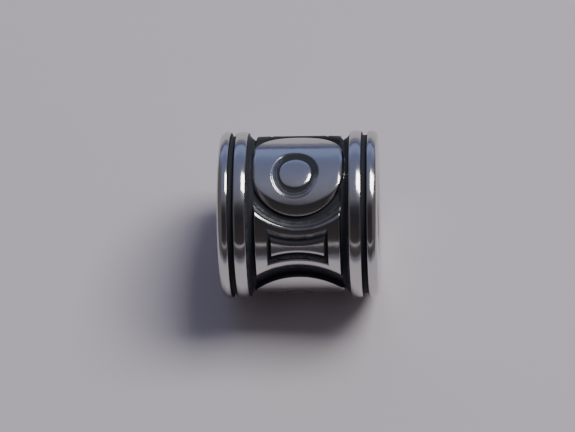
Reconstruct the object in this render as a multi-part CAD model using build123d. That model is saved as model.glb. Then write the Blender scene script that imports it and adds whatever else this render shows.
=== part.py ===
from build123d import *
import math
import os

# A cast silver charm bead, lying on its side. Its bore runs along X, and the origin is
# the middle of the bore. Sizes are in mm, angles in degrees.

# Whole bead
overall_d = 9.0
bead_l = 8.4
bore_d = 4.8
bore_mouth_r = 0.3  # rounding where the bore meets each end face

# Plain turned ends, each width taken from the end face inwards
outer_ring_w = 0.5
outer_groove_w = 0.33
inner_ring_w = 0.67
inner_groove_w = 0.42
ring_crown = 0.08  # rise of a ring's rounded top above its shoulders
outer_groove_depth = 0.25
inner_groove_depth = 0.5
inner_groove_draft = 0.08

# Levels of the relief band, each measured down from the top of the rings
panel_drop = 0.27
disc_drop = 0.3
dish_drop = 0.61

# Relief pattern, measured along the band's surface
disc_count = 3
first_disc_turn = -6.5  # the first disc stands this far round from straight up
disc_r = 2.56
disc_reach = 0.19  # how far the discs run out into the side grooves
disc_edge_r = 0.2
eye_r = 0.9
moat_w = 0.36
moat_depth = 0.17
eye_shift_x = -0.15
eye_shift_y = -0.2
panel_waist = 1.9  # height of a panel between two dishes, at mid-length
spool_rim_gap = 0.3  # from a dish's rim to the line round the spool
spool_side_gap = 0.63  # from the band's edge to the same line
spool_line_w = 0.3
spool_line_depth = 0.15

# Radii and places worked out from the sizes above
ring_r = overall_d / 2
bore_r = bore_d / 2
end_x = bead_l / 2
outer_groove_x = end_x - outer_ring_w
inner_ring_x = outer_groove_x - outer_groove_w
inner_groove_x = inner_ring_x - inner_ring_w
band_x = inner_groove_x - inner_groove_w
shoulder_r = ring_r - ring_crown
panel_r = ring_r - panel_drop
disc_face_r = ring_r - disc_drop
dish_floor_r = ring_r - dish_drop
pitch = 360 / disc_count
half_pitch_arc = math.radians(pitch / 2) * panel_r
dish_r = half_pitch_arc - panel_waist / 2
disc_half_w = band_x + disc_reach
spool_half_w = band_x - spool_side_gap
spool_line_r = dish_r + spool_rim_gap


def bead_section():
    """Half of the turned section, in X and radius, from mid-length to one end."""
    end_edge_r = outer_ring_w / 2
    crown_x = end_x - end_edge_r
    mouth_x = end_x - bore_mouth_r
    outer_groove_mid = (inner_ring_x + outer_groove_x) / 2
    inner_ring_mid = (inner_groove_x + inner_ring_x) / 2
    outer_floor_r = ring_r - outer_groove_depth
    inner_floor_r = ring_r - inner_groove_depth
    corner = math.cos(math.radians(45))
    with BuildSketch() as section:
        with BuildLine():
            Line((0, bore_r), (mouth_x, bore_r))
            ThreePointArc(
                (mouth_x, bore_r),
                (mouth_x + bore_mouth_r * corner, bore_r + bore_mouth_r * (1 - corner)),
                (end_x, bore_r + bore_mouth_r),
            )
            Line((end_x, bore_r + bore_mouth_r), (end_x, ring_r - end_edge_r))
            ThreePointArc(
                (end_x, ring_r - end_edge_r),
                (crown_x + end_edge_r * corner, ring_r - end_edge_r * (1 - corner)),
                (crown_x, ring_r),
            )
            TangentArc((crown_x, ring_r), (outer_groove_x, shoulder_r), tangent=(-1, 0))
            ThreePointArc(
                (outer_groove_x, shoulder_r),
                (outer_groove_mid, outer_floor_r),
                (inner_ring_x, shoulder_r),
            )
            ThreePointArc(
                (inner_ring_x, shoulder_r),
                (inner_ring_mid, ring_r),
                (inner_groove_x, shoulder_r),
            )
            Line((inner_groove_x, shoulder_r), (inner_groove_x - inner_groove_draft, inner_floor_r))
            Line(
                (inner_groove_x - inner_groove_draft, inner_floor_r),
                (band_x + inner_groove_draft, inner_floor_r),
            )
            Line((band_x + inner_groove_draft, inner_floor_r), (band_x, panel_r))
            Line((band_x, panel_r), (0, panel_r))
            Line((0, panel_r), (0, bore_r))
        make_face()
        mirror(about=Plane.YZ)
    return section.sketch


def shell(inner_r, outer_r, half_w):
    """A tube about the bead's axis."""
    tube = Cylinder(outer_r, 2 * half_w) - Cylinder(inner_r, 2 * half_w)
    return Rot(Y=90) * tube


def chord(arc, radius):
    """Straight reach across the radial axis of a length measured along the surface."""
    return radius * math.sin(arc / radius)


def dish_cutter():
    """Round recess about a disc, with walls that follow the bead's radius."""
    slope = math.tan(dish_r / panel_r)
    low = dish_floor_r / 2
    inner = Pos(Z=low) * Ellipse(dish_r, low * slope)
    outer = Pos(Z=ring_r) * Ellipse(dish_r, ring_r * slope)
    return loft([inner, outer]) & shell(dish_floor_r, ring_r, band_x)


def disc_boss():
    """Raised disc on the floor of the dish, rooted in the wall below it."""
    root_r = (bore_r + dish_floor_r) / 2
    outline = Ellipse(disc_r, chord(disc_r, disc_face_r))
    boss = extrude(outline, amount=ring_r) & shell(root_r, disc_face_r, disc_half_w)
    rim = boss.faces().filter_by(GeomType.CYLINDER).sort_by(Axis.Z)[-1].edges()
    return fillet(rim, disc_edge_r)


def moat_cutter():
    """Ring engraved in a disc about its round eye, a little off the disc's centre."""
    ring = Circle(eye_r + moat_w) - Circle(eye_r)
    cutter = extrude(ring, amount=ring_r) & shell(disc_face_r - moat_depth, ring_r, disc_half_w)
    return Rot(X=-math.degrees(eye_shift_y / disc_face_r)) * Pos(X=eye_shift_x) * cutter


def spool_outline(half_w, line_r):
    """Spool shape whose hollow sides lie line_r from the centres of the discs beside it."""
    waist_y = half_pitch_arc - line_r
    corner_y = half_pitch_arc - math.sqrt(line_r**2 - half_w**2)
    with BuildSketch() as outline:
        with BuildLine():
            ThreePointArc((-half_w, corner_y), (0, waist_y), (half_w, corner_y))
            Line((half_w, corner_y), (half_w, -corner_y))
            ThreePointArc((half_w, -corner_y), (0, -waist_y), (-half_w, -corner_y))
            Line((-half_w, -corner_y), (-half_w, corner_y))
        make_face()
    return outline.sketch


def spool_cutter():
    """Engraved line round the spool on the panel between two discs."""
    outer = spool_outline(spool_half_w, spool_line_r)
    inner = spool_outline(spool_half_w - spool_line_w, spool_line_r + spool_line_w)
    return extrude(outer - inner, amount=ring_r) & shell(panel_r - spool_line_depth, ring_r, band_x)


bead = revolve(Plane.XY * bead_section(), axis=Axis.X)
dish = dish_cutter()
disc = disc_boss()
moat = moat_cutter()
spool_line = spool_cutter()
for index in range(disc_count):
    turn = first_disc_turn + index * pitch
    bead -= Rot(X=turn) * dish
    bead += Rot(X=turn) * disc
    bead -= Rot(X=turn) * moat
    bead -= Rot(X=turn + pitch / 2) * spool_line

os.makedirs("parts", exist_ok=True)
export_step(bead, "parts/charm_bead.step")
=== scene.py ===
import bmesh
import bpy
import math
from mathutils import Matrix, Vector


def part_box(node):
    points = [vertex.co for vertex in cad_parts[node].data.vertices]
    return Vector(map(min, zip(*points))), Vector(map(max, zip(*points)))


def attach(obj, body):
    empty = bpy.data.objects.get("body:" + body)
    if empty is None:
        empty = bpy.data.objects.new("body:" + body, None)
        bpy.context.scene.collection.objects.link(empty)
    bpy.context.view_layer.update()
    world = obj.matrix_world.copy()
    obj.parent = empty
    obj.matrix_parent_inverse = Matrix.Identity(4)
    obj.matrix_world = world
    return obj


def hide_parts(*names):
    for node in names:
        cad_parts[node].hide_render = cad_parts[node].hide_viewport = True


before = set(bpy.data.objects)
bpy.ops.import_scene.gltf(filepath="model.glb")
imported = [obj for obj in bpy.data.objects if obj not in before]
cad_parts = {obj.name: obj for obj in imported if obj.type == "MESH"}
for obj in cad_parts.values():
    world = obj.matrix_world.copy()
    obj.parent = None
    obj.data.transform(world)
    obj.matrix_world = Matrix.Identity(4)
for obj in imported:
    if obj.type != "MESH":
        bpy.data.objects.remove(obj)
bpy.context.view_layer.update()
scene = bpy.context.scene
mm = 0.001
print("frame loaded")

beadLow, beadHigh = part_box("charm_bead")

# The bead, in mm and degrees. Levels are measured up from the top of the panels
bead = {
    "ringRadius": beadHigh.z / mm,
    "panelRadius": 4.23,
    "discTurn": 6.5,  # the first disc stands this far behind straight up
    "spokes": 144,
    "rimSpacing": 0.14,  # shortest edge round the plain ends
    "faceLength": 0.17,  # longest face along the flat stretches of the band
    "endFaceLength": 2,
    "cornerFaces": 8,  # faces across each rounded corner
    "bandEdge": (2.21, 2.24, 2.26, 2.28, 2.30, 2.32, 2.35),  # the band's side rolls into the groove
    "discSide": (2.19, 0.50, 0.05),  # x where a disc's side starts to fall, its slope, its rounding
    "grooveFloor": (2.44, -0.24),  # x where the groove starts to rise to the ring, level
    "grooveEnd": (2.70, 0.09),
    "grooveCurve": 1.4,  # above 1 the groove's floor rises late
    "grooveWear": 0.3,  # share of the black that is gone where the groove meets the ring
    "dishLevel": -0.345,
    "discLevel": -0.035,
    "levelTurn": 0.48,  # share of the way to the back at which a disc's edge is fully levelled
    # the extra black at a disc's back and front is painted shade over the oxide; these turns and the
    # moat's lean spread it
    "backTurn": (0.1, 0.7),  # shares of the way to the back where the extra black starts and is full
    "frontTurn": (0.4, 0.9),  # the same to the front
    "eyeReach": (1.3, 2),  # between these the eye's own shift and lean fade out
    "moatLean": 0.5,  # the black at the back of the moat reaches round to the right
    "discFoot": 2.58,
    "dishRim": 3.48,
    "panelMargin": 0.05,  # the panel's own cuts keep this far from the rim
    "spoolLine": 4.08,  # deepest part of the engraved line, from the centre of the dish
    "spoolSide": 1.5,
    "spoolHalfWidth": 0.10,
    "spoolSlope": 0.38,  # the line slopes down more gently from the dish
    "spoolDepth": 0.15,
    "spoolBlack": 1.1,  # the black at the spool's sides is this much wider than the line
    "cutGap": 1e-5,  # a cut this near to a vert goes through it
    "spinGap": 1e-4,  # verts this near are merged, in one sheet and then in the band
    "mergeGap": 0.001,
}

# Section through a disc and its dish: reach from the centre, level, rounding of the corner
discSection = (
    (0.00, -0.010, 0),
    (0.55, -0.014, 0.2),
    (0.87, -0.045, 0.10),  # edge of the eye
    (0.94, -0.090, 0.03),
    (1.225, -0.072, 0.018),  # floor of the moat
    (1.30, -0.038, 0.018),  # outer lip of the moat
    (1.40, -0.035, 0),
    (2.08, -0.035, 0.16),  # start of the bevel
    (2.47, -0.180, 0.06),  # edge of the disc
    (2.58, -0.350, 0.03),  # foot of the disc
    (2.66, -0.350, 0.03),
    (2.88, -0.338, 0.10),  # hollow of the dish
    (3.12, -0.228, 0.04),
    (3.26, -0.128, 0.03),
    (3.36, -0.053, 0.03),
    (3.46, 0.000, 0.03),  # rim of the dish
    (3.63, 0.000, 0),  # from here close rows, for the line round the spool
    (3.70, 0.000, 0),
    (3.77, 0.000, 0),
    (3.84, 0.000, 0),
    (3.91, 0.000, 0),
    (3.97, 0.000, 0),
    (4.01, 0.000, 0),
    (4.04, 0.000, 0),
    (4.07, 0.000, 0),
    (4.10, 0.000, 0),
    (4.13, 0.000, 0),
    (4.16, 0.000, 0),
    (4.20, 0.000, 0),
    (5.20, 0.000, 0),
)

# Where that section's circles lie on the band, because they were cut by hand: reach, shift in x and
# round, stretch in x and round, how far the disc's back edge is levelled, extra blackness at the back
# and at the front
# in both tables the extra blackness at the back and front is painted shade, laid over the oxide, that
# hides the lamp's highlights there
firstDisc = (
    (0.00, -0.09, -0.275, 0.94, 1.03, 0, 0, 0),
    (0.90, -0.09, -0.275, 0.94, 1.03, 0, 0, 0),
    (1.04, -0.10, -0.28, 0.96, 1.06, 0, 0.2, 0.5),
    (1.10, -0.105, -0.29, 0.965, 1.08, 0, 0.35, 0.1),
    (1.22, -0.115, -0.31, 0.97, 1.11, 0, 0.5, 0),
    (1.24, -0.12, -0.31, 0.97, 1.11, 0, 0.76, 0.62),
    (1.30, -0.13, -0.315, 0.97, 1.105, 0, 0.76, 0.62),
    (1.36, -0.13, -0.30, 0.98, 1.105, 0, 0, 0),
    (2.08, 0.03, 0.10, 1.17, 1.115, 1, 0, 0),
    (2.47, 0.01, 0.25, 1.03, 1.19, 1, 0, 0),
    (2.58, 0.00, 0.25, 1.01, 1.17, 0, 0.8, 0),
    (2.66, 0.00, 0.24, 0.98, 1.15, 0, 0.8, 0),
    (3.36, 0.07, 0.02, 1.006, 1.006, 0, 0.8, 0),
    (3.46, 0.08, 0.00, 1.01, 1.01, 0, 0.8, 0),
    (4.00, 0.00, 0.00, 1.00, 1.00, 0, 0.8, 0),
    (4.20, 0.00, 0.00, 1.00, 1.00, 0, 0, 0),
)
plainDisc = (
    (0.00, -0.10, -0.25, 0.95, 1.03, 0, 0, 0),
    (0.94, -0.10, -0.25, 0.95, 1.03, 0, 0, 0),
    (1.30, -0.10, -0.28, 0.98, 1.06, 0, 0, 0),
    (2.08, 0.00, 0.00, 1.15, 1.04, 1, 0, 0),
    (2.41, 0.00, 0.00, 1.04, 0.99, 1, 0, 0),
    (2.47, 0.00, 0.00, 1.02, 0.98, 1, 0.8, 0),
    (2.58, 0.00, 0.00, 1.00, 0.97, 0, 0, 0),
    (2.66, 0.00, 0.00, 0.98, 0.98, 0, 0, 0),
    (3.46, 0.00, 0.00, 1.00, 1.00, 0, 0, 0),
)
discPlaces = (firstDisc, plainDisc, plainDisc)
eyeShift = (0, 0, -0.45)  # further shift of each disc's eye round the bead

# How black that section's recesses are: reach, blackness
discTarnish = (
    (0.86, 0.0),
    (0.90, 1.0),
    (0.98, 0.85),
    (1.04, 0.55),
    (1.20, 0.45),
    (1.24, 0.1),
    (1.28, 0.0),
    (2.46, 0.0),
    (2.49, 0.4),
    (2.53, 1.0),
    (2.83, 1.0),
    (2.90, 0.77),
    (3.00, 0.77),
    (3.06, 0.88),
    (3.13, 0.69),
    (3.24, 0.69),
    (3.28, 0.9),
    (3.33, 0.85),
    (3.37, 0.45),
    (3.46, 0.45),
    (3.52, 0.0),
)

# How black the line round the spool is across itself: share of its way from the dish, blackness
spoolTarnish = (
    (-1.10, 0.00),
    (-0.90, 0.50),
    (-0.75, 0.68),
    (-0.30, 0.68),
    (-0.15, 1.00),
    (1.00, 1.00),
    (1.30, 0.00),
)

# Section of the plain ends, from the side groove out to the end face and into the bore:
# x, height over the rings' top, rounding of the corner. The corners stand over the rounded tops
endSection = (
    (2.70, -0.180, 0),
    (2.71, -0.070, 0.04),
    (3.035, 0.0595, 0.305),  # inner ring
    (3.36, -0.070, 0.04),
    (3.40, -0.250, 0.03),
    (3.62, -0.250, 0.03),
    (3.645, -0.100, 0.02),
    (3.67, -0.035, 0.02),
    (3.83, 0.025, 0.14),  # outer ring
    (4.20, -0.130, 0.15),
    (4.20, -2.100, 0.30),  # mouth of the bore
    (0.30, -2.100, 0),
)
# How black the ends are: x, blackness
endTarnish = (
    (2.71, 0.80),
    (2.74, 0.00),
    (3.31, 0.00),
    (3.34, 0.95),
    (3.65, 0.95),
    (3.675, 0.00),
)


def tableValues(rows, reach):
    # the row at reach, mixed from the rows on each side of it
    if reach <= rows[0][0]:
        return rows[0][1:]
    for low, high in zip(rows, rows[1:]):
        if reach <= high[0]:
            share = (reach - low[0]) / (high[0] - low[0])
            return tuple(a + (b - a) * share for a, b in zip(low[1:], high[1:]))
    return rows[-1][1:]


def smoothStep(low, high, value):
    share = min(1, max(0, (value - low) / (high - low)))
    return share * share * (3 - 2 * share)


def roundedWire(section, faceLength):
    # a chain of edges in the XZ plane with its corners rounded and its long edges divided
    bm = bmesh.new()
    corners = [bm.verts.new((row[0], 0, row[1])) for row in section]
    for pair in zip(corners, corners[1:]):
        bm.edges.new(pair)
    for corner, row in zip(corners, section):
        if row[2] > 0:
            bmesh.ops.bevel(bm, geom=[corner], offset=row[2], segments=bead["cornerFaces"],
                            affect="VERTICES", profile=0.5, material=-1)
    for edge in bm.edges[:]:
        cuts = int(edge.calc_length() / faceLength)
        if cuts:
            bmesh.ops.subdivide_edges(bm, edges=[edge], cuts=cuts)
    return bm


def wirePoints(section, faceLength):
    # the same chain as points in order, from the section's first corner
    bm = roundedWire(section, faceLength)
    start = Vector((section[0][0], 0, section[0][1]))
    vert = min(bm.verts, key=lambda v: (v.co - start).length)
    points = [(vert.co.x, vert.co.z)]
    edge = None
    while True:
        onward = [e for e in vert.link_edges if e is not edge]
        if not onward:
            break
        edge = onward[0]
        vert = edge.other_vert(vert)
        points.append((vert.co.x, vert.co.z))
    bm.free()
    return points


def cutAcross(bm, geom, axis, place, clear=False):
    # cuts with a plane at place along x (0) or y (1), and clears what lies past it
    spot = Vector((0, 0, 0))
    spot[axis] = place
    bmesh.ops.bisect_plane(bm, geom=geom, dist=bead["cutGap"], plane_co=spot,
                           plane_no=spot.normalized(), clear_outer=clear)


def everything(bm):
    return bm.verts[:] + bm.edges[:] + bm.faces[:]


def bandSheet(places, shift):
    # one disc with half of each panel beside it, still flat: x along the bead, y round it
    bm = roundedWire(discSection, bead["faceLength"])
    bmesh.ops.spin(bm, geom=bm.verts[:] + bm.edges[:], cent=(0, 0, 0), axis=(0, 0, 1),
                   angle=math.tau, steps=bead["spokes"], use_merge=True)
    bmesh.ops.remove_doubles(bm, verts=bm.verts, dist=bead["spinGap"])
    reachLayer = bm.verts.layers.float.new("reach")
    tarnishAndShadeLayer = bm.verts.layers.float.new("tarnishAndShade")
    for vert in bm.verts:
        reach = vert.co.xy.length
        shiftX, shiftY, stretchX, stretchY, levelling, behind, ahead = tableValues(places, reach)
        vert[reachLayer] = reach
        vert[tarnishAndShadeLayer] = tableValues(discTarnish, reach)[0]
        eye = 1 - smoothStep(*bead["eyeReach"], reach)
        if reach > 0:
            back = vert.co.y / reach
            level = levelling * smoothStep(0, bead["levelTurn"], back)
            vert.co.z += (bead["discLevel"] - vert.co.z) * level
            leaning = back + bead["moatLean"] * vert.co.x / reach * eye
            # the extra black at the back and front is painted shade, added to the oxide, that hides
            # the lamp's highlights
            vert[tarnishAndShadeLayer] += behind * smoothStep(*bead["backTurn"], leaning)
            vert[tarnishAndShadeLayer] += ahead * smoothStep(*bead["frontTurn"], -back)
        vert.co.x = vert.co.x * stretchX + shiftX
        vert.co.y = vert.co.y * stretchY + shiftY + shift * eye
    halfPitch = math.pi * bead["panelRadius"] / len(discPlaces)
    panelStart = bead["dishRim"] + bead["panelMargin"]
    for side in (-1, 1):
        cutAcross(bm, everything(bm), 1, side * halfPitch, clear=True)
        cutAcross(bm, everything(bm), 0, side * bead["grooveEnd"][0], clear=True)
        for place in (bead["discSide"][0], *bead["bandEdge"]):
            cutAcross(bm, everything(bm), 0, side * place)
        for step in range(-4, 5):
            panel = [f for f in bm.faces if min(v[reachLayer] for v in f.verts) > panelStart]
            edges = {e for f in panel for e in f.edges}
            verts = {v for f in panel for v in f.verts}
            place = bead["spoolSide"] + bead["spoolHalfWidth"] * step / 3
            cutAcross(bm, [*verts, *edges, *panel], 0, side * place)
    return bm


def shapeSheet(bm):
    # rolls the band's sides down into the grooves and engraves the spool's line
    reachLayer = bm.verts.layers.float["reach"]
    tarnishAndShadeLayer = bm.verts.layers.float["tarnishAndShade"]
    riseX, grooveLevel = bead["grooveFloor"]
    endX, endLevel = bead["grooveEnd"]
    sideX, sideSlope, sideRounding = bead["discSide"]
    for vert in bm.verts:
        reach = vert[reachLayer]
        off = abs(vert.co.x)
        side = smoothStep(bead["bandEdge"][0], bead["bandEdge"][-1], off)
        rise = max(0, off - riseX) / (endX - riseX)
        groove = grooveLevel + (endLevel - grooveLevel) * rise ** bead["grooveCurve"]
        black = side * (1 - bead["grooveWear"] * rise)
        over = max(0, off - sideX)
        if reach < bead["discFoot"]:
            vert.co.z -= sideSlope * over * over / (over + sideRounding)
            floor = bead["dishLevel"] + (groove - bead["dishLevel"]) * side
            if vert.co.z < floor:
                vert.co.z = floor
                vert[tarnishAndShadeLayer] = max(vert[tarnishAndShadeLayer], black)
            continue
        vert.co.z += (groove - vert.co.z) * side
        vert[tarnishAndShadeLayer] = max(vert[tarnishAndShadeLayer], black)
        side = (bead["spoolSide"] - off) / bead["spoolHalfWidth"]
        ahead = reach - bead["spoolLine"]
        ahead /= bead["spoolHalfWidth"] if ahead > 0 else bead["spoolSlope"]
        away = min(side, ahead)
        share = (1 - away * away) ** 2 if abs(away) < 1 else 0
        vert.co.z -= bead["spoolDepth"] * share
        if away == side:
            black = 1 if abs(away) < bead["spoolBlack"] else 0
        else:
            black = tableValues(spoolTarnish, away)[0]
        vert[tarnishAndShadeLayer] = max(vert[tarnishAndShadeLayer], black)


def wrapSheet(bm, turn):
    # lays the flat sheet round the bead, with its disc at turn past straight up
    for vert in bm.verts:
        angle = turn + vert.co.y / bead["panelRadius"]
        radius = bead["panelRadius"] + vert.co.z
        vert.co.y = radius * math.sin(angle)
        vert.co.z = radius * math.cos(angle)


def makeBand():
    # the three sheets, joined into one ring
    band = bmesh.new()
    mesh = bpy.data.meshes.new("sheet")
    for index, places in enumerate(discPlaces):
        bm = bandSheet(places, eyeShift[index])
        shapeSheet(bm)
        wrapSheet(bm, math.radians(bead["discTurn"]) + math.tau * index / len(discPlaces))
        bm.to_mesh(mesh)
        bm.free()
        band.from_mesh(mesh)
    bpy.data.meshes.remove(mesh)
    # the cuts leave the verts in an order that changes from run to run, and merging follows the order
    across = Vector((1, 0.71, 0.53))
    band.verts.sort(key=lambda v: v.co.dot(across))
    bmesh.ops.remove_doubles(band, verts=band.verts, dist=bead["mergeGap"])
    return band


def thinRim(bm, side):
    # goes round one open side of the band and merges the verts that stand too close
    rim = [v for v in bm.verts if v.is_boundary and v.co.x * side > 0]
    rim.sort(key=lambda v: math.atan2(v.co.y, v.co.z))
    kept = rim[0]
    merged = {}
    for vert in rim[1:]:
        if (vert.co - kept.co).length < bead["rimSpacing"]:
            merged[vert] = kept
        else:
            kept = vert
    bmesh.ops.weld_verts(bm, targetmap=merged)


def addEnds(bm):
    # draws each open side of the band out through the rings, the end face and the bore,
    # then joins the two sides inside the bore
    tarnishAndShadeLayer = bm.verts.layers.float["tarnishAndShade"]
    for side in (-1, 1):
        thinRim(bm, side)
        rail = [e for e in bm.edges if e.is_boundary and e.verts[0].co.x * side > 0]
        for x, height in wirePoints(endSection, bead["endFaceLength"]):
            made = bmesh.ops.extrude_edge_only(bm, edges=rail)["geom"]
            verts = {g for g in made if isinstance(g, bmesh.types.BMVert)}
            rail = [g for g in made if isinstance(g, bmesh.types.BMEdge) and set(g.verts) <= verts]
            radius = bead["ringRadius"] + height
            for vert in verts:
                angle = math.atan2(vert.co.y, vert.co.z)
                vert.co = (side * x, radius * math.sin(angle), radius * math.cos(angle))
                inBore = radius < bead["panelRadius"]
                vert[tarnishAndShadeLayer] = 0 if inBore else tableValues(endTarnish, x)[0]
    bmesh.ops.bridge_loops(bm, edges=[e for e in bm.edges if e.is_boundary])


def makeBead():
    bm = makeBand()
    addEnds(bm)
    bmesh.ops.recalc_face_normals(bm, faces=bm.faces)
    bmesh.ops.scale(bm, verts=bm.verts, vec=(mm, mm, mm))
    openEdges = sum(not e.is_manifold for e in bm.edges)
    mesh = bpy.data.meshes.new("silverBead")
    bm.to_mesh(mesh)
    bm.free()
    mesh.shade_smooth()
    mesh.calc_loop_triangles()
    piece = bpy.data.objects.new("silverBead", mesh)
    scene.collection.objects.link(piece)
    print("bead made:", len(mesh.loop_triangles), "triangles,", openEdges, "open edges")
    return piece


def addNode(tree, kind, **inputs):
    node = tree.nodes.new(kind)
    for name, value in inputs.items():
        node.inputs[name.replace("_", " ")].default_value = value
    return node


# Silver finish. Lengths of patterns are in mm
silver = {
    "metal": (0.65, 0.635, 0.615, 1),
    # the oxide is near black; its slight blue is a painted reflection of the pale blue sky
    "oxideWithSkyTint": (0.036, 0.038, 0.046, 1),
    "roughness": (0.09, 0.16),
    "oxideRoughness": 0.6,
    "oxideSheen": 0.1,
    "blackRange": (0.15, 0.85),  # tarnish at which the oxide starts to show, and covers
    "metalRange": (0.75, 1),  # cover at which the metal starts to dull, and is gone
    "blotchLength": 0.35,
    "blotchSpread": 0.06,
    "patchLength": 0.8,
    "waveLength": 1.3,
    "waveHeight": 0.011,
    "lineLength": 0.12,  # from one line to the next
    "lineReach": 2,  # how far a line runs
    "lineHeight": 0.0012,
}


def silverMaterial():
    material = bpy.data.materials.new("oxidisedSilver")
    material.use_nodes = True
    tree = material.node_tree
    links = tree.links
    shader = tree.nodes["Principled BSDF"]
    coords = tree.nodes.new("ShaderNodeTexCoord")
    # this holds the oxide in the hollows and the painted shade at the discs' backs and fronts
    tarnishAndShade = tree.nodes.new("ShaderNodeAttribute")
    tarnishAndShade.attribute_name = "tarnishAndShade"

    # blotches break up the edge of the oxide
    blotches = addNode(tree, "ShaderNodeTexNoise", Scale=1 / (silver["blotchLength"] * mm),
                       Detail=4, Roughness=0.6)
    links.new(coords.outputs["Object"], blotches.inputs["Vector"])
    spread = addNode(tree, "ShaderNodeMapRange", From_Min=0.3, From_Max=0.7,
                     To_Min=-silver["blotchSpread"], To_Max=silver["blotchSpread"])
    links.new(blotches.outputs["Fac"], spread.inputs["Value"])
    amount = tree.nodes.new("ShaderNodeMath")
    amount.operation = "ADD"
    links.new(tarnishAndShade.outputs["Fac"], amount.inputs[0])
    links.new(spread.outputs["Result"], amount.inputs[1])
    black = addNode(tree, "ShaderNodeMapRange", From_Min=silver["blackRange"][0],
                    From_Max=silver["blackRange"][1])
    black.interpolation_type = "SMOOTHSTEP"
    links.new(amount.outputs["Value"], black.inputs["Value"])

    colour = tree.nodes.new("ShaderNodeMix")
    colour.data_type = "RGBA"
    colour.inputs["A"].default_value = silver["metal"]
    colour.inputs["B"].default_value = silver["oxideWithSkyTint"]
    links.new(black.outputs["Result"], colour.inputs["Factor"])
    links.new(colour.outputs["Result"], shader.inputs["Base Color"])

    shader.inputs["Specular IOR Level"].default_value = silver["oxideSheen"]
    bright = addNode(tree, "ShaderNodeMapRange", From_Min=silver["metalRange"][0],
                     From_Max=silver["metalRange"][1], To_Min=1, To_Max=0)
    links.new(black.outputs["Result"], bright.inputs["Value"])
    links.new(bright.outputs["Result"], shader.inputs["Metallic"])

    # the polish is uneven, and the oxide is dull
    patches = addNode(tree, "ShaderNodeTexNoise", Scale=1 / (silver["patchLength"] * mm),
                      Detail=5, Roughness=0.65)
    links.new(coords.outputs["Object"], patches.inputs["Vector"])
    polish = addNode(tree, "ShaderNodeMapRange", From_Min=0.3, From_Max=0.7,
                     To_Min=silver["roughness"][0], To_Max=silver["roughness"][1])
    links.new(patches.outputs["Fac"], polish.inputs["Value"])
    dulling = addNode(tree, "ShaderNodeMix", A=silver["oxideRoughness"])
    links.new(bright.outputs["Result"], dulling.inputs["Factor"])
    links.new(polish.outputs["Result"], dulling.inputs["B"])
    links.new(dulling.outputs["Result"], shader.inputs["Roughness"])

    # hand polishing leaves soft waves and fine lines round the bead
    waves = addNode(tree, "ShaderNodeTexNoise", Scale=1 / (silver["waveLength"] * mm), Detail=2)
    links.new(coords.outputs["Object"], waves.inputs["Vector"])
    stretch = addNode(tree, "ShaderNodeMapping",
                      Scale=(1 / (silver["lineLength"] * mm), 1 / (silver["lineReach"] * mm),
                             1 / (silver["lineReach"] * mm)))
    links.new(coords.outputs["Object"], stretch.inputs["Vector"])
    lines = addNode(tree, "ShaderNodeTexNoise", Scale=1, Detail=3)
    links.new(stretch.outputs["Vector"], lines.inputs["Vector"])
    waveBump = addNode(tree, "ShaderNodeBump", Strength=1, Distance=silver["waveHeight"] * mm)
    links.new(waves.outputs["Fac"], waveBump.inputs["Height"])
    lineBump = addNode(tree, "ShaderNodeBump", Strength=1, Distance=silver["lineHeight"] * mm)
    links.new(lines.outputs["Fac"], lineBump.inputs["Height"])
    links.new(waveBump.outputs["Normal"], lineBump.inputs["Normal"])
    links.new(lineBump.outputs["Normal"], shader.inputs["Normal"])
    return material


silverBead = makeBead()
silverBead.data.materials.append(silverMaterial())
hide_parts("charm_bead")
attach(silverBead, "root")
print("bead finished")

# Floor, in metres. It darkens away from the bead: painted shade that stands in for a shadow over the
# far floor
floor = {
    "size": 6.0,
    "roughness": 0.9,
    "colour": (0.72, 0.67, 0.70, 1),
    "farShadeColour": (0.30, 0.29, 0.345, 1),
    "shadeFade": (0.030, 0.065),
}


def makeFloor():
    bm = bmesh.new()
    bmesh.ops.create_grid(bm, x_segments=1, y_segments=1, size=floor["size"] / 2)
    bmesh.ops.translate(bm, verts=bm.verts, vec=(0, 0, beadLow.z))
    mesh = bpy.data.meshes.new("studioFloor")
    bm.to_mesh(mesh)
    bm.free()
    piece = bpy.data.objects.new("studioFloor", mesh)
    scene.collection.objects.link(piece)
    material = bpy.data.materials.new("paleFloor")
    material.use_nodes = True
    tree = material.node_tree
    shader = tree.nodes["Principled BSDF"]
    shader.inputs["Roughness"].default_value = floor["roughness"]
    coords = tree.nodes.new("ShaderNodeTexCoord")
    # the colour goes from the floor's own to the darker far colour with distance from the bead:
    # painted shade
    away = tree.nodes.new("ShaderNodeVectorMath")
    away.operation = "LENGTH"
    tree.links.new(coords.outputs["Object"], away.inputs[0])
    shadeFade = addNode(tree, "ShaderNodeMapRange", From_Min=floor["shadeFade"][0], From_Max=floor["shadeFade"][1])
    shadeFade.interpolation_type = "SMOOTHSTEP"
    tree.links.new(away.outputs["Value"], shadeFade.inputs["Value"])
    colour = tree.nodes.new("ShaderNodeMix")
    colour.data_type = "RGBA"
    colour.inputs["A"].default_value = floor["colour"]
    colour.inputs["B"].default_value = floor["farShadeColour"]
    tree.links.new(shadeFade.outputs["Result"], colour.inputs["Factor"])
    tree.links.new(colour.outputs["Result"], shader.inputs["Base Color"])
    mesh.materials.append(material)
    return piece


makeFloor()

# Camera: angles in degrees, pixels of the 575 x 432 frame
camera = {
    "elevation": 61,
    "azimuth": 6,
    "roll": 5.85,
    "distance": 0.153,
    "focalPixels": 2842,
    "frameSize": (575, 432),
    "beadPixel": (300.7, 214.5),
}


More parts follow.
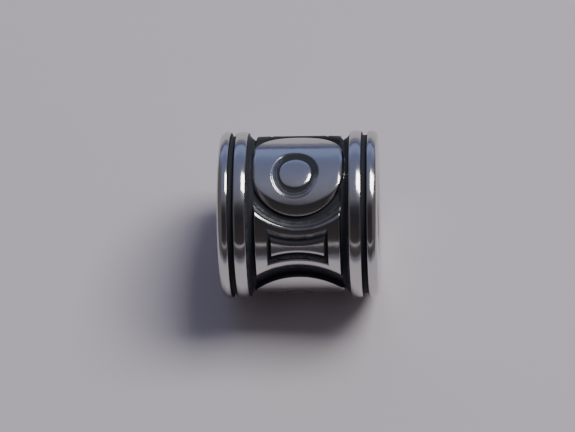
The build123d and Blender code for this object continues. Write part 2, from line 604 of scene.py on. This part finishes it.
def makeCamera():
    azimuth = math.radians(camera["azimuth"])
    elevation = math.radians(camera["elevation"])
    back = Vector((math.sin(azimuth) * math.cos(elevation),
                   -math.cos(azimuth) * math.cos(elevation),
                   math.sin(elevation)))
    right = Vector((math.cos(azimuth), math.sin(azimuth), 0))
    up = back.cross(right)
    roll = math.radians(camera["roll"])
    right, up = (right * math.cos(roll) - up * math.sin(roll),
                 right * math.sin(roll) + up * math.cos(roll))
    place = back * camera["distance"]
    # the aim lies off the bead's middle, so that the bead stands a little right of the frame's middle
    pixelLength = camera["distance"] / camera["focalPixels"]
    offX = (camera["beadPixel"][0] - camera["frameSize"][0] / 2) * pixelLength
    offY = (camera["frameSize"][1] / 2 - camera["beadPixel"][1]) * pixelLength
    back = (place + right * offX + up * offY).normalized()
    right = (right - back * right.dot(back)).normalized()
    up = back.cross(right)
    data = bpy.data.cameras.new("camera")
    data.sensor_width = 36
    data.lens = camera["focalPixels"] * data.sensor_width / camera["frameSize"][0]
    data.clip_start = 0.01
    piece = bpy.data.objects.new("camera", data)
    piece.matrix_world = Matrix.Translation(place) @ Matrix((right, up, back)).transposed().to_4x4()
    scene.collection.objects.link(piece)
    scene.camera = piece


makeCamera()

# Studio light: a soft window box, and a wide sky that is dark in front and pale blue behind
light = {
    "keyFrom": (0.45, 0.29, 0.845),  # direction, then metres and watts
    "keyDistance": 0.6,
    "keySize": (0.34, 0.27),
    "keyPower": 2.7,
    "skyStrength": 1.0,
    "sideColour": (0.13, 0.12, 0.13, 1),
    "sideFrom": (0.45, 0.75),  # share of the way to the bead's own axis
}
skyStops = (  # share of the half turn from the front horizon over the top to the back, colour
    (0.000, (0.09, 0.08, 0.09)),
    (0.030, (0.06, 0.055, 0.065)),
    (0.082, (0.08, 0.075, 0.085)),
    (0.088, (0.42, 0.40, 0.42)),
    (0.104, (0.42, 0.40, 0.42)),
    (0.110, (0.05, 0.042, 0.045)),
    (0.330, (0.03, 0.028, 0.036)),
    (0.400, (0.05, 0.048, 0.06)),
    (0.460, (0.165, 0.165, 0.21)),
    (0.530, (0.20, 0.205, 0.28)),
    (0.600, (0.205, 0.22, 0.32)),
    (0.800, (0.18, 0.203, 0.35)),
    (0.844, (0.19, 0.235, 0.41)),
    (0.890, (0.25, 0.315, 0.54)),
    (0.962, (0.29, 0.36, 0.60)),
    (0.975, (0.12, 0.14, 0.28)),
    (1.000, (0.12, 0.14, 0.28)),
)


def makeLight():
    away = Vector(light["keyFrom"]).normalized()
    data = bpy.data.lights.new("windowBox", "AREA")
    data.shape = "RECTANGLE"
    data.size, data.size_y = light["keySize"]
    data.energy = light["keyPower"]
    piece = bpy.data.objects.new("windowBox", data)
    across = (Vector((1, 0, 0)) - away * away.x).normalized()
    axes = Matrix((across, away.cross(across), away)).transposed().to_4x4()
    piece.matrix_world = Matrix.Translation(away * light["keyDistance"]) @ axes
    scene.collection.objects.link(piece)

    world = bpy.data.worlds.new("studioSky")
    world.use_nodes = True
    scene.world = world
    tree = world.node_tree
    links = tree.links
    coords = tree.nodes.new("ShaderNodeTexCoord")
    parts = tree.nodes.new("ShaderNodeSeparateXYZ")
    links.new(coords.outputs["Generated"], parts.inputs["Vector"])
    front = tree.nodes.new("ShaderNodeMath")
    front.operation = "MULTIPLY"
    front.inputs[1].default_value = -1
    links.new(parts.outputs["Y"], front.inputs[0])
    turn = tree.nodes.new("ShaderNodeMath")
    turn.operation = "ARCTAN2"
    links.new(parts.outputs["Z"], turn.inputs[0])
    links.new(front.outputs["Value"], turn.inputs[1])
    share = tree.nodes.new("ShaderNodeMath")
    share.operation = "DIVIDE"
    share.inputs[1].default_value = math.pi
    links.new(turn.outputs["Value"], share.inputs[0])
    ramp = tree.nodes.new("ShaderNodeValToRGB")
    stops = ramp.color_ramp.elements
    while len(stops) < len(skyStops):
        stops.new(0.5)
    for stop, (place, colour) in zip(stops, skyStops):
        stop.position = place
        stop.color = (*colour, 1)
    links.new(share.outputs["Value"], ramp.inputs["Fac"])
    # towards the bead's ends the sky is a pale wall
    off = tree.nodes.new("ShaderNodeMath")
    off.operation = "ABSOLUTE"
    links.new(parts.outputs["X"], off.inputs[0])
    aside = addNode(tree, "ShaderNodeMapRange", From_Min=light["sideFrom"][0],
                    From_Max=light["sideFrom"][1])
    aside.interpolation_type = "SMOOTHSTEP"
    links.new(off.outputs["Value"], aside.inputs["Value"])
    colour = tree.nodes.new("ShaderNodeMix")
    colour.data_type = "RGBA"
    links.new(aside.outputs["Result"], colour.inputs["Factor"])
    links.new(ramp.outputs["Color"], colour.inputs["A"])
    colour.inputs["B"].default_value = light["sideColour"]
    background = tree.nodes["Background"]
    background.inputs["Strength"].default_value = light["skyStrength"]
    links.new(colour.outputs["Result"], background.inputs["Color"])


makeLight()
print("stage, camera and light made")
